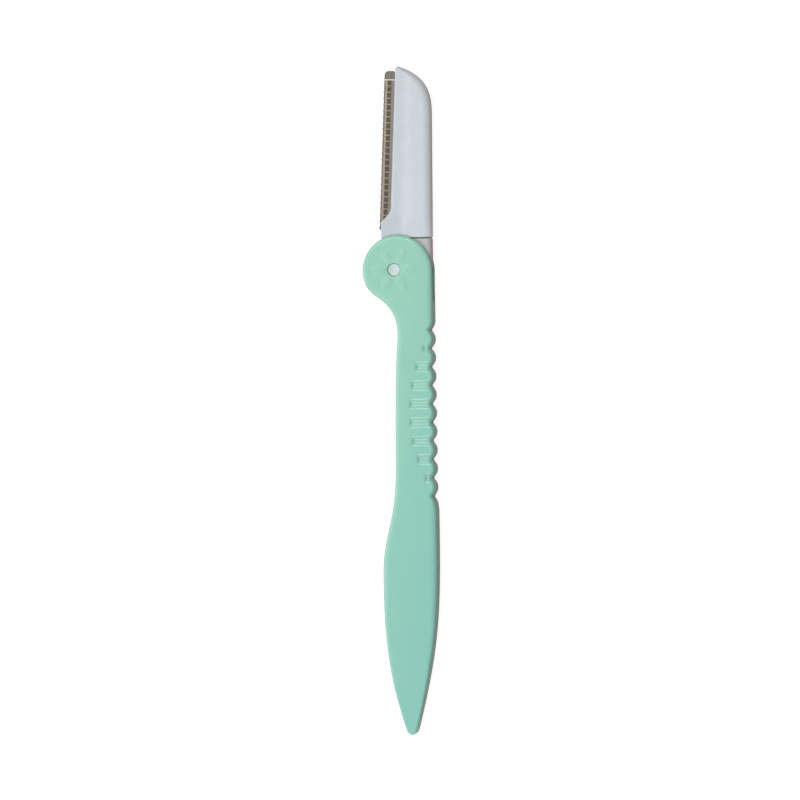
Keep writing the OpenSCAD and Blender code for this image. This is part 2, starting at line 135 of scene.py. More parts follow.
def polygon_distance(points: Sequence[Point] | np.ndarray, x: Field, y: Field) -> Field:
    """Signed distance to a closed outline, negative inside.

    Args:
        points: outline corners, in order.
        x: first coordinate of the places to measure.
        y: second coordinate of the same places.

    Returns:
        An array of the same shape as x and y.
    """
    corners = np.asarray(points, dtype=np.float32)
    best = np.full(x.shape, FAR, dtype=np.float32)
    inside = np.zeros(x.shape, dtype=bool)
    for start, end in zip(corners, np.roll(corners, -1, axis=0)):
        way = end - start
        length = float(way @ way)
        if length == 0.0:
            continue
        px = x - start[0]
        py = y - start[1]
        share = np.clip((px * way[0] + py * way[1]) / length, 0.0, 1.0)
        best = np.minimum(best, (px - share * way[0]) ** 2 + (py - share * way[1]) ** 2)
        crosses = (start[1] > y) != (end[1] > y)
        if abs(way[1]) > 0.0:
            inside ^= crosses & (px < way[0] * py / way[1])
    return np.where(inside, -1.0, 1.0) * np.sqrt(best)


def bezier(a: Sequence[float], b: Sequence[float], c: Sequence[float], d: Sequence[float],
           count: int) -> np.ndarray:
    """Points of a cubic curve, without its last one.

    Args:
        a: where the curve starts.
        b: handle of its start.
        c: handle of its end.
        d: where it ends.
        count: number of points.

    Returns:
        An array with one row for each point.
    """
    s = np.linspace(0.0, 1.0, count, endpoint=False)[:, None]
    a, b, c, d = (np.asarray(p, dtype=float) for p in (a, b, c, d))
    return (1 - s) ** 3 * a + 3 * (1 - s) ** 2 * s * b + 3 * (1 - s) * s * s * c + s ** 3 * d


def arc(centre: Sequence[float], radius: float, start: float, end: float,
        count: int) -> np.ndarray:
    """Points of a circle between two angles in degrees, without the last."""
    angles = np.radians(np.linspace(start, end, count, endpoint=False))
    return radius * np.column_stack([np.cos(angles), np.sin(angles)]) + centre


@dataclass(frozen=True)
class Grid:
    """A box of evenly spaced points in millimetres."""

    low: Place
    high: Place
    step: float
    margin: float = 0.5

    def axes(self) -> list[np.ndarray]:
        """Works out the grid's coordinates.

        Returns:
            Three arrays, along x, y and z.
        """
        return [
            np.arange(
                low - self.margin, high + self.margin + self.step, self.step, dtype=np.float32)
            for low, high in zip(self.low, self.high)
        ]

    def plan(self) -> tuple[Field, Field]:
        """x and y of every column of the grid."""
        x, y, _ = self.axes()
        return tuple(np.meshgrid(x, y, indexing="ij"))

    def levels(self) -> Field:
        """Signed height of every layer, shaped to stand beside a plan."""
        return self.axes()[2][None, None, :]


def sample(values: Field, at: np.ndarray) -> np.ndarray:
    """Reads a field between its points.

    Args:
        values: the field.
        at: places, one in a row, counted in cells.

    Returns:
        One value for each place.
    """
    base = np.minimum(at.astype(int), np.array(values.shape) - 2)
    rest = at - base
    result = np.zeros(len(at))
    for corner in np.ndindex(2, 2, 2):
        weight = np.prod(np.where(corner, rest, 1.0 - rest), axis=1)
        result += weight * values[tuple((base + corner).T)]
    return result


def surface_net(values: Field, grid: Grid) -> tuple[np.ndarray, np.ndarray, np.ndarray]:
    """Turns a field into a mesh with one point in every cell that the surface crosses.

    Each grid edge that the surface crosses gives a face between the four cells round it, and
    each cell's point is the mean of the crossings on its edges.

    Args:
        values: the field on the grid.
        grid: the grid it was measured on.

    Returns:
        Points in millimetres, their outward normals, and faces of four points.
    """
    cells = np.array(values.shape) - 1
    total = int(np.prod(cells))
    inside = values < 0.0
    sums = np.zeros((3, total))
    counts = np.zeros(total)
    quads = []
    for axis in range(3):
        low = [slice(None)] * 3
        high = [slice(None)] * 3
        low[axis] = slice(None, -1)
        high[axis] = slice(1, None)
        first, second = values[tuple(low)], values[tuple(high)]
        crossed = np.argwhere(inside[tuple(low)] != inside[tuple(high)])
        start = first[tuple(crossed.T)]
        places = crossed.astype(float)
        places[:, axis] += start / (start - second[tuple(crossed.T)])
        u, v = (axis + 1) % 3, (axis + 2) % 3
        corners = []
        for du, dv in ((-1, -1), (0, -1), (0, 0), (-1, 0)):
            cell = crossed.copy()
            cell[:, u] += du
            cell[:, v] += dv
            index = np.ravel_multi_index(tuple(cell.T), tuple(cells))
            corners.append(index)
            counts += np.bincount(index, minlength=total)
            for k in range(3):
                sums[k] += np.bincount(index, weights=places[:, k], minlength=total)
        face = np.column_stack(corners)
        leaving = inside[tuple(low)][tuple(crossed.T)]
        quads.append(np.where(leaving[:, None], face, face[:, ::-1]))
    used = np.flatnonzero(counts)
    number = np.full(total, -1)
    number[used] = np.arange(len(used))
    at = (sums[:, used] / counts[used]).T
    normals = np.column_stack([sample(slope, at) for slope in np.gradient(values)])
    normals /= np.maximum(np.linalg.norm(normals, axis=1, keepdims=True), TINY)
    origin = np.array([axis[0] for axis in grid.axes()])
    return origin + at * grid.step, normals, number[np.vstack(quads)]


# Sizes that the pieces share

@dataclass(frozen=True)
class Head:
    """Sizes that the handle and the head share, in millimetres from the hinge axis."""

    seam_y: float = 7.7             # seam between the arm and the holder
    seam_gap: float = 0.2
    arm_front: float = 3.4          # front side of the arm and of the holder's block
    arm_t: float = 2.6
    hub_r: float = 5.2
    back: float = 9.4               # back edge of the handle, the arm and the holder's foot
    lean: float = 0.28              # by which the holder's back runs outward, up to its shoulder
    blade_foot: float = 9.6
    blade_len: float = 39.45
    blade_lean: float = 1.96        # by which the cutting edge runs inward, foot to end
    blade_show: float = 2.65        # of the blade, in front of the holder's nose
    edge_x: float = 3.93            # cutting edge in front of the axis, at the blade's foot
    tip_cover: float = 0.95         # of the holder, beyond the blade's end
    block_top: float = 11.75
    slant_h: float = 2.4            # of the slope from the block to the nose

    @property
    def tilt(self) -> float:
        """Angle of the blade from the handle's length, in radians."""
        return math.asin(self.blade_lean / self.blade_len)

    @property
    def blade_end(self) -> float:
        """Height of the blade's end."""
        return self.blade_foot + self.blade_len * math.cos(self.tilt)

    @property
    def top(self) -> float:
        """Height of the holder's crown."""
        return self.blade_end + self.tip_cover

    def nose_x(self, y: Value) -> Value:
        """Line of the holder's nose beside the blade."""
        return self.blade_show - self.edge_x + (y - self.blade_foot) * math.tan(self.tilt)


HEAD = Head()


# Colour and materials

NOISE_LOW = 0.3                 # nearly all values of a noise lie between these two
NOISE_HIGH = 0.7


def linear(hex_colour: str) -> tuple[float, float, float, float]:
    """Turns an sRGB colour into the linear values that shaders take.

    Args:
        hex_colour: the colour, such as #96D2BE.

    Returns:
        Red, green, blue and an alpha of 1.
    """
    channels = [int(hex_colour[i:i + 2], 16) / 255.0 for i in (1, 3, 5)]
    curve = [c / 12.92 if c <= 0.04045 else ((c + 0.055) / 1.055) ** 2.4 for c in channels]
    return (*curve, 1.0)


def add(tree: bpy.types.NodeTree, kind: str, inputs: dict[str | int, object] | None = None,
        **settings: object) -> bpy.types.Node:
    """Adds one node with its settings, values and links.

    Args:
        tree: the node tree.
        kind: the node's type name.
        inputs: values or sockets by input name or number.
        settings: attributes of the node.

    Returns:
        The new node.
    """
    node = tree.nodes.new(kind)
    for name, value in settings.items():
        setattr(node, name, value)
    for name, value in (inputs or {}).items():
        if isinstance(value, bpy.types.NodeSocket):
            tree.links.new(value, node.inputs[name])
        else:
            node.inputs[name].default_value = value
    return node


def blade_places(tree: bpy.types.NodeTree) -> bpy.types.NodeSocket:
    """Coordinates along the blade.

    Args:
        tree: the node tree.

    Returns:
        Millimetres, x from the cutting edge and y from the blade's foot.
    """
    foot = Vector(HINGE) + Vector((-HEAD.edge_x, HEAD.blade_foot, 0.0)) * MM
    source = add(tree, "ShaderNodeTexCoord")
    return add(
        tree, "ShaderNodeMapping",
        {"Vector": source.outputs["Object"], "Location": foot,
         "Rotation": (0.0, 0.0, -HEAD.tilt), "Scale": (MM, MM, MM)},
        vector_type="TEXTURE").outputs[0]


@dataclass(frozen=True)
class Finish:
    """What every finish has: the name of its material."""

    name: str

    def start(self) -> tuple[bpy.types.Material, bpy.types.NodeTree]:
        """Makes the material.

        Returns:
            The material, and its node tree, still empty.
        """
        material = bpy.data.materials.new(self.name)
        material.use_nodes = True
        material.node_tree.nodes.clear()
        return material, material.node_tree

    def surface(self, tree: bpy.types.NodeTree, inputs: dict[str | int, object]) -> None:
        """Ends the material with its surface shader, which takes these inputs."""
        shader = add(tree, "ShaderNodeBsdfPrincipled", inputs)
        add(tree, "ShaderNodeOutputMaterial", {"Surface": shader.outputs[0]})

    def places(self, tree: bpy.types.NodeTree,
               stretch: Place = (1.0, 1.0, 1.0)) -> bpy.types.NodeSocket:
        """Coordinates in millimetres, which move with the piece.

        Args:
            tree: the node tree.
            stretch: what each axis is multiplied by.

        Returns:
            The coordinates' socket.
        """
        source = add(tree, "ShaderNodeTexCoord")
        return add(
            tree, "ShaderNodeMapping",
            {"Vector": source.outputs["Object"], "Scale": tuple(s / MM for s in stretch)},
        ).outputs[0]

    def noise(self, tree: bpy.types.NodeTree, places: bpy.types.NodeSocket, size: float,
              detail: float) -> bpy.types.NodeSocket:
        """Adds noise.

        Args:
            tree: the node tree.
            places: coordinates in millimetres.
            size: width of its features in millimetres.
            detail: number of finer layers.

        Returns:
            The noise's socket, from 0 to 1.
        """
        return add(
            tree, "ShaderNodeTexNoise",
            {"Vector": places, "Scale": 1.0 / size, "Detail": detail},
        ).outputs["Fac"]


@dataclass(frozen=True)
class MouldedPlastic(Finish):
    """ABS from a polished mould, which gives the eye an even colour and a soft gloss.

    Lengths are in millimetres. The mould's grain keeps its real width. That is too fine to show
    in the picture, where it only softens the highlights.
    """

    colour: str
    roughness: float = 0.3
    gloss_change: float = 0.03      # of the roughness, between worn and fresh patches
    wear: float = 2.6               # width of those patches
    grain: float = 0.05
    grain_depth: float = 0.0008
    grain_strength: float = 0.25
    flow: float = 0.006             # change of tone between flow marks
    flow_stretch: Place = (0.12, 0.03, 0.12)    # makes marks 8 wide and 33 long
    shine: float = 0.25
    ior: float = 1.5
    scatter: float = 0.1
    scatter_reach: float = 0.6

    def backing(self, tree: bpy.types.NodeTree,
                colour: bpy.types.NodeSocket) -> bpy.types.NodeSocket:
        """Colour with what shows through from behind: nothing, unless a finish says so."""
        return colour

    def build(self) -> bpy.types.Material:
        """Makes the material: faint flow marks, and the mould's grain as bump and gloss.

        Returns:
            The material.
        """
        material, tree = self.start()
        places = self.places(tree)
        base = linear(self.colour)[:3]
        lighter = tuple(min(1.0, c * (1.0 + self.flow)) for c in base) + (1.0,)
        darker = tuple(c * (1.0 - self.flow) for c in base) + (1.0,)
        marks = self.noise(tree, self.places(tree, self.flow_stretch), 1.0, 3.0)
        tint = add(
            tree, "ShaderNodeMix", {"Factor": marks, 6: darker, 7: lighter}, data_type="RGBA")
        gloss = add(
            tree, "ShaderNodeMapRange",
            {"Value": self.noise(tree, places, self.wear, 4.0),
             "From Min": NOISE_LOW, "From Max": NOISE_HIGH,
             "To Min": self.roughness - self.gloss_change,
             "To Max": self.roughness + self.gloss_change})
        bump = add(
            tree, "ShaderNodeBump",
            {"Height": self.noise(tree, places, self.grain, 3.0),
             "Strength": self.grain_strength, "Distance": self.grain_depth * MM})
        self.surface(tree, {
            "Base Color": self.backing(tree, tint.outputs[2]),
            "Roughness": gloss.outputs[0],
            "Normal": bump.outputs[0],
            "IOR": self.ior,
            "Specular IOR Level": self.shine,
            "Subsurface Weight": self.scatter,
            "Subsurface Radius": (1.0, 1.0, 1.0),
            "Subsurface Scale": self.scatter_reach * MM,
        })
        return material


@dataclass(frozen=True)
class ShadeTonedPlastic(MouldedPlastic):
    """Tinted ABS with painted shade: its colour darkens down the handle toward the tip, and faster
    toward its back edge, where the light falls off.

    Places are measured from the frame's origin in millimetres, down the handle, with every
    millimetre toward the back edge counted lean times.
    """

    # painted shade: the darker tone mixed in toward the tip and the back edge
    painted_shade: str = "#8AC8BA"
    painted_shade_from: float = -30.0
    painted_shade_to: float = 85.0
    lean: float = 5.0

    def backing(self, tree: bpy.types.NodeTree,
                colour: bpy.types.NodeSocket) -> bpy.types.NodeSocket:
        """Mixes the painted shade in, more of it toward the tip and the back edge.

        Args:
            tree: the node tree.
            colour: the plain colour.

        Returns:
            The mixed colour.
        """
        source = add(tree, "ShaderNodeTexCoord")
        reach = add(
            tree, "ShaderNodeVectorMath",
            {0: source.outputs["Object"], 1: (self.lean, -1.0, 0.0)}, operation="DOT_PRODUCT")
        share = add(
            tree, "ShaderNodeMapRange",
            {"Value": reach.outputs["Value"],
             "From Min": self.painted_shade_from * MM, "From Max": self.painted_shade_to * MM})
        return add(
            tree, "ShaderNodeMix",
            {"Factor": share.outputs[0], 6: colour, 7: linear(self.painted_shade)},
            data_type="RGBA").outputs[2]


@dataclass(frozen=True)
class CoolShadedPlastic(MouldedPlastic):
    """Thin white ABS moulded round the blade, with painted shade in a cooler tone over its sloping
    front.
    """

    # the painted shade's cool tone, which the colour is multiplied by
    painted_cool_shade: str = "#F2F5F5"
    painted_shade_reach: float = 5.6              # cutting edge to where the painted shade fades out, in millimetres
    fade: float = 1.3               # of the cooler tone, to each side of that line

    def backing(self, tree: bpy.types.NodeTree,
                colour: bpy.types.NodeSocket) -> bpy.types.NodeSocket:
        """Multiplies the colour by the painted cool shade near the cutting edge.

        Args:
            tree: the node tree.
            colour: the plain colour.

        Returns:
            The cooled colour.
        """
        axes = add(tree, "ShaderNodeSeparateXYZ", {"Vector": blade_places(tree)})
        shaded_share = add(
            tree, "ShaderNodeMapRange",
            {"Value": axes.outputs["X"],
             "From Min": self.painted_shade_reach + self.fade, "From Max": self.painted_shade_reach - self.fade},
            interpolation_type="SMOOTHSTEP")
        return add(
            tree, "ShaderNodeMix",
            {"Factor": shaded_share.outputs[0], 6: colour, 7: linear(self.painted_cool_shade)},
            data_type="RGBA", blend_type="MULTIPLY").outputs[2]


@dataclass(frozen=True)
class StripSteel(Finish):
    """Stainless strip, ground along its length: bands of tone with fine lines in them.

    Lengths are in millimetres. The real grinding lines are about 0.01 apart. They are drawn as
    wide as line says, so that they show. Each band's tone stands for the part of the
    surroundings that it mirrors in the photograph.
    """

    tones: tuple[tuple[float, str], ...]    # colours, by distance from the cutting edge
    # the end's tone, which on the foil is a painted highlight along its upper end
    end_tone: str
    end_from: float                         # where the end's tone begins, from the foot
    roughness: float
    line: float
    cloud: float                            # change of tone between clouds
    foot_tone: str = "#65615C"
    foot_to: float = 1.75                   # where the foot's tone ends
    fade: float = 0.15                      # between those tones and the bands
    cloud_size: float = 0.7
    grind_stretch: Place = (1.0, 0.05, 1.0)     # draws the lines 20 times as long as wide
    line_depth: float = 0.004
    line_strength: float = 0.4
    gloss_change: float = 0.06

    def bands(self, tree: bpy.types.NodeTree,
              places: bpy.types.NodeSocket) -> bpy.types.NodeSocket:
        """Tones from the cutting edge to the back, with those of the end and the foot.

        Args:
            tree: the node tree.
            places: coordinates along the blade.

        Returns:
            The colour's socket.
        """
        axes = add(tree, "ShaderNodeSeparateXYZ", {"Vector": places})
        reach = self.tones[-1][0]
        share = add(
            tree, "ShaderNodeMapRange",
            {"Value": axes.outputs["X"], "From Min": 0.0, "From Max": reach})
        ramp = add(tree, "ShaderNodeValToRGB", {"Fac": share.outputs[0]})
        stops = ramp.color_ramp.elements
        ready = len(stops)
        for index, (place, colour) in enumerate(self.tones):
            stop = stops[index] if index < ready else stops.new(1.0)
            stop.position = place / reach
            stop.color = linear(colour)
        tone = ramp.outputs["Color"]
        for start, end, colour in (
                (self.end_from, self.end_from + self.fade, self.end_tone),
                (self.foot_to, self.foot_to - self.fade, self.foot_tone)):
            there = add(
                tree, "ShaderNodeMapRange",
                {"Value": axes.outputs["Y"], "From Min": start, "From Max": end})
            tone = add(
                tree, "ShaderNodeMix",
                {"Factor": there.outputs[0], 6: tone, 7: linear(colour)},
                data_type="RGBA").outputs[2]
        return tone

    def build(self) -> bpy.types.Material:
        """Makes the material: bands, faint clouds, and the grind as bump and gloss.

        Returns:
            The material.
        """
        material, tree = self.start()
        places = blade_places(tree)
        along = add(tree, "ShaderNodeMapping", {"Vector": places, "Scale": self.grind_stretch})
        lines = self.noise(tree, along.outputs[0], self.line, 3.0)
        shade = add(
            tree, "ShaderNodeMapRange",
            {"Value": self.noise(tree, places, self.cloud_size, 4.0),
             "From Min": NOISE_LOW, "From Max": NOISE_HIGH,
             "To Min": 1.0 - self.cloud, "To Max": 1.0 + self.cloud})
        tint = add(
            tree, "ShaderNodeVectorMath",
            {0: self.bands(tree, places), "Scale": shade.outputs[0]}, operation="SCALE")
        gloss = add(
            tree, "ShaderNodeMapRange",
            {"Value": lines, "To Min": self.roughness - self.gloss_change,
             "To Max": self.roughness + self.gloss_change})
        bump = add(
            tree, "ShaderNodeBump",
            {"Height": lines, "Strength": self.line_strength,
             "Distance": self.line_depth * MM})
        self.surface(tree, {
            "Base Color": tint.outputs[0],
            "Roughness": gloss.outputs[0],
            "Normal": bump.outputs[0],
            "Metallic": 1.0,
        })
        return material


# Pieces

SHORT_CURVE = 16                # points of a curve, a scallop or the tip
LONG_CURVE = 32
CROWN_CURVE = 40
THICKNESS_CURVE = 64
KNUCKLE_ARC = 96
PEAK_ARC = 8
SEAM_EDGE = 0.08                # rounding of the two edges at the seam
CORNERS = 4                     # of each face


def piece(name: str, body: Field, grid: Grid, material: bpy.types.Material, rides: Body,
          node: str) -> bpy.types.Object:
    """Makes a moulded piece from its field and hands it to the frame.

    Args:
        name: the object's name.
        body: the piece's field, in millimetres about the hinge.
        grid: the grid it was measured on.
        material: its finish.
        rides: the rigid body that it rides on.
        node: the frame node that it stands for.

    Returns:
        The new object.
    """
    points, normals, faces = surface_net(body, grid)
    mesh = bpy.data.meshes.new(name)
    places = points * MM + np.array(HINGE)
    mesh.vertices.add(len(places))
    mesh.vertices.foreach_set("co", places.ravel())
    mesh.loops.add(faces.size)
    mesh.loops.foreach_set("vertex_index", faces.ravel())
    mesh.polygons.add(len(faces))
    mesh.polygons.foreach_set("loop_start", np.arange(0, faces.size, CORNERS))
    mesh.update(calc_edges=True)
    mesh.polygons.foreach_set("use_smooth", np.ones(len(faces), dtype=bool))
    mesh.normals_split_custom_set_from_vertices(normals)
    mesh.materials.append(material)
    obj = bpy.data.objects.new(name, mesh)
    bpy.context.scene.collection.objects.link(obj)
    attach(obj, rides.value)
    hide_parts(node)
    LOG.info("%s: %d faces", name, len(faces))
    return obj


@dataclass(frozen=True)
class Handle:
    """The forked handle: one moulding with grip, slots and flower relief.

    Lengths are in millimetres, and y counts upward from the hinge axis. The values whose names
    end in share or shares place the handles of the outline's curves between their ends.
    """

    reach: float = 114.05           # hinge axis down to the tip
    knuckle_r: float = 8.72
    knuckle_drop: float = 0.2       # of the knuckle's middle, below the hinge axis
    knuckle_share: float = 0.549    # of a full turn, from the back edge to the neck
    cheek: float = 1.0              # wall beside the arm
    side_gap: float = 0.1           # arm to cheek
    stop_gap: float = 0.1           # arm to the fork's floor
    tip_t: float = 3.2
    flat_len: float = 58.4          # hinge axis down to where the handle starts to thin
    thin_shares: Place = (0.35, 0.75, 0.5)
    edge_r: float = 0.95            # rounding of the long edges, down the side
    edge_w: float = 1.6             # and across the face
    tip_r: float = 0.45
    rim_r: float = 0.8              # rounding of the knuckle's rim, down the side
    rim_w: float = 1.15             # and across the face
    neck: Point = (0.45, -16.3)
    neck_shares: Point = (0.585, 0.406)
    waist: Point = (-0.56, -47.2)
    waist_shares: Place = (0.05, 0.75, 0.1)
    belly: Point = (-4.16, -75.4)
    belly_shares: Point = (0.55, 0.6)
    front_shares: Point = (0.28, 0.59)
    spear_x: float = 9.56           # back edge where the tip's long curve starts
    spear_lead: float = 4.1         # straight back edge below the last scallop
    spear_shares: Place = (0.9, 0.6, 0.454)
    tip_x: float = 2.34
    tip_w: float = 2.9
    tip_len: float = 1.5
    tip_share: float = 0.3
    scallops: int = 10
    pitch: float = 4.53
    scallop_depth: float = 1.05
    scallop_start: float = 12.6     # hinge axis down to the first crown
    scallop_ease: float = 0.9       # last crown out to the spear
    valley_share: float = 0.84      # of a scallop's half length, where its valley rounds
    valley_round: float = 5.5
    groove_w: float = 3.1
    groove_depth: float = 0.45
    groove_start: float = -0.05     # of a groove's inner end, from the lens-shaped line
    groove_end: float = 0.9         # length of that soft end
    lens_r: float = 36.0            # arc that the grooves' inner ends follow
    lens_depth: float = 6.4
    ridge_w: float = 0.9            # rounding of the scalloped edge, across the face
    ridge_in: Point = (1.5, 5.0)    # x where that narrower rounding sets in
    ridge_out: Point = (-2.0, 3.0)  # and where it ends, from the scallops' ends
    petals: int = 6
    petal_len: float = 3.7
    petal_w: float = 2.5
    petal_root: float = 2.0
    petal_h: float = 0.165
    petal_soft: Point = (-0.25, 0.8)    # from outside a petal's edge to its full height
    hole_r: float = 1.6
    hole_ease: float = 0.3
    slot_ease: float = 0.2          # rounding of the slots' edges
    nest_w: float = 1.6             # thin slot that the folded blade goes into
    nest_gap: float = 0.6           # room between the folded blade and that slot's floor
    nest_front: float = -30.0       # well in front of the handle
    mouth_w: float = 2.2            # wider mouth of that slot, for the holder's nose
    relief_len: float = 7.8         # of the same thin slot through the back edge
    step: float = 0.15

    @property
    def half_t(self) -> float:
        """Half the handle's full thickness."""
        return HEAD.arm_t / 2 + self.side_gap + self.cheek

    @property
    def scallop_end(self) -> float:
        """Hinge axis down to the last crown."""
        return self.scallop_start + self.scallops * self.pitch

    @property
    def grip_middle(self) -> float:
        """Hinge axis down to the middle of the scallops."""
        return (self.scallop_start + self.scallop_end) / 2

    @property
    def tip_y(self) -> float:
        """Height at which the two long edges meet the rounded tip."""
        return self.tip_len - self.reach

    def ridge(self) -> list[np.ndarray]:
        """Scallops of the back edge, from the lowest up.

        Returns:
            One array of points for each scallop.
        """
        share = np.linspace(0.0, 1.0, SHORT_CURVE, endpoint=False)
        near = 2.0 * np.abs(np.where(share > 0.5, share - 1.0, share))
        bite = near ** 2 - self.valley_round * np.maximum(0.0, near - self.valley_share) ** 2
        return [
            np.column_stack([
                HEAD.back - self.scallop_depth * bite,
                -self.scallop_end + (i + share) * self.pitch,
            ])
            for i in range(self.scallops)
        ]

    def outline(self) -> np.ndarray:
        """Outline of the handle, up the scallops, round the knuckle and down the front.

        Returns:
            An array with one row for each corner.
        """
        turn = FULL_TURN * self.knuckle_share
        start = math.radians(turn)
        knuckle = np.array([HEAD.back - self.knuckle_r, -self.knuckle_drop])
        neck_from = knuckle + self.knuckle_r * np.array([math.cos(start), math.sin(start)])
        way = np.array([-math.sin(start), math.cos(start)])
        neck, waist, belly = (np.array(p) for p in (self.neck, self.waist, self.belly))
        front_tip = np.array([self.tip_x - self.tip_w / 2, self.tip_y])
        back_tip = np.array([self.tip_x + self.tip_w / 2, self.tip_y])
        tip_low = -self.reach - self.tip_len / 3    # brings the curve's lowest point to reach
        spear = np.array([self.spear_x, -self.scallop_end - self.spear_lead])
        neck_lead, neck_rise = self.neck_shares
        waist_top, waist_in, waist_low = self.waist_shares
        belly_top, belly_low = self.belly_shares
        front_top, front_low = self.front_shares
        spear_in, spear_low, spear_top = self.spear_shares
        return np.vstack([
            [spear, (self.spear_x, -self.scallop_end - self.scallop_ease)],
            *self.ridge(),
            [(HEAD.back, -self.scallop_start)],
            arc(knuckle, self.knuckle_r, 0.0, turn, KNUCKLE_ARC),
            bezier(
                neck_from,
                neck_from + way * neck_lead * self.knuckle_r,
                (neck[0], neck[1] * neck_rise),
                neck, LONG_CURVE),
            bezier(
                neck,
                (neck[0], blend(neck[1], waist[1], waist_top)),
                (blend(neck[0], waist[0], waist_in), blend(neck[1], waist[1], waist_low)),
                waist, SHORT_CURVE),
            bezier(
                waist,
                (waist[0], blend(waist[1], belly[1], belly_top)),
                (belly[0], blend(waist[1], belly[1], belly_low)),
                belly, LONG_CURVE),
            bezier(
                belly,
                (belly[0], blend(belly[1], self.tip_y, front_top)),
                (belly[0], blend(belly[1], self.tip_y, front_low)),
                front_tip, LONG_CURVE),
            bezier(
                front_tip,
                (blend(front_tip[0], self.tip_x, self.tip_share), tip_low),
                (blend(back_tip[0], self.tip_x, self.tip_share), tip_low),
                back_tip, SHORT_CURVE),
            bezier(
                back_tip,
                (blend(back_tip[0], spear[0], spear_in), blend(spear[1], self.tip_y, spear_low)),
                (spear[0], blend(spear[1], self.tip_y, spear_top)),
                spear, LONG_CURVE),
        ])

    def half_thickness(self, y: Field) -> Field:
        """Half the thickness: full down to the grip's foot, then thinner to the tip.

        Args:
            y: heights, from the hinge axis.

        Returns:
            An array of the same shape.
        """
        thin = self.tip_t / 2
        first, second, middle = self.thin_shares
        curve = bezier(
            (-self.flat_len, self.half_t),
            (blend(-self.flat_len, self.tip_y, first), self.half_t),
            (blend(-self.flat_len, self.tip_y, second), blend(self.half_t, thin, middle)),
            (self.tip_y, thin), THICKNESS_CURVE)
        return np.interp(-y, -curve[:, 0], curve[:, 1], right=thin)

    def relief(self, x: Field, y: Field) -> Field:
        """Height of the flower's petals above the front face.

        Args:
            x: first coordinate of each column.
            y: second coordinate of each column.

        Returns:
            An array of the same shape.
        """
        radius = (self.petal_len ** 2 + self.petal_w ** 2) / (4 * self.petal_w)
        highest = np.zeros_like(x)
        for i in range(self.petals):
            turn = 2 * math.pi * i / self.petals
            along = x * math.cos(turn) + y * math.sin(turn) - self.petal_root - self.petal_len / 2
            across = y * math.cos(turn) - x * math.sin(turn)
            offset = np.abs(across) + radius - self.petal_w / 2
            inward = radius - np.hypot(along, offset)
            highest = np.maximum(highest, smooth_step(inward, *self.petal_soft))
        return self.petal_h * highest

    def fork(self, x: Field, y: Field) -> Field:
        """Plan of the wide slot that the arm turns in.

        Args:
            x: first coordinate of each column.
            y: second coordinate of each column.

        Returns:
            The slot's field.
        """
        reach = np.hypot(x, y)
        sweep = math.hypot(HEAD.arm_front, HEAD.block_top) + HEAD.slant_h
        swept = np.maximum(np.maximum(reach - sweep, x - HEAD.arm_front - self.stop_gap), y)
        hub = reach - HEAD.hub_r - self.stop_gap
        return np.minimum(np.minimum(-self.stop_gap - y, hub), swept)

    def nest(self, x: Field, y: Field, depth: float) -> Field:
        """Plan of a slot along the front edge, which follows the folded blade.

        Args:
            x: first coordinate of each column.
            y: second coordinate of each column.
            depth: x of the slot's floor at its upper end.

        Returns:
            The slot's field.
        """
        low = -HEAD.top - self.nest_gap
        return polygon_distance([
            (self.nest_front, 0.0),
            (depth, 0.0),
            (depth, -HEAD.blade_foot),
            (depth - HEAD.blade_lean, -HEAD.blade_end),
            (depth - HEAD.blade_lean, low),
            (self.nest_front, low),
        ], x, y)

    def grooves(self, x: Field, y: Field) -> Field:
        """Depth of the face grooves: soft troughs that start at a lens-shaped line.

        Args:
            x: first coordinate of each column.
            y: second coordinate of each column.

        Returns:
            An array of the same shape.
        """
        row = np.clip(np.round((-y - self.scallop_start) / self.pitch - 0.5), 1, self.scallops - 2)
        valley = -self.scallop_start - (row + 0.5) * self.pitch
        rise = np.sqrt(self.lens_r ** 2 - (valley + self.grip_middle) ** 2)
        start = HEAD.back - (self.lens_depth - self.lens_r + rise) + self.groove_start
        across = np.clip(2.0 * np.abs(y - valley) / self.groove_w, 0.0, 1.0)
        trough = 0.5 + 0.5 * np.cos(math.pi * across)
        return self.groove_depth * trough * smooth_step(x, start, start + self.groove_end)

    def rounding(self, x: Field, y: Field) -> tuple[Field, Field]:
        """Rounding of the handle's edges, which is narrower along the scallops.

        Args:
            x: first coordinate of each column.
            y: second coordinate of each column.

        Returns:
            Its width across the face, and its height down the side.
        """
        along = [0.0, -self.neck[1], -self.belly[1], self.reach - self.tip_len]
        wide = np.interp(-y, along, [self.rim_w, self.edge_w, self.edge_w, self.tip_r])
        high = np.interp(-y, along, [self.rim_r, self.edge_r, self.edge_r, self.tip_r])
        half = self.grip_middle - self.scallop_start
        inner, outer = self.ridge_out
        beyond = smooth_step(np.abs(y + self.grip_middle), half + inner, half + outer)
        ridge = smooth_step(x, *self.ridge_in) * (1.0 - beyond)
        return blend(wide, self.ridge_w, ridge)[:, :, None], high[:, :, None]

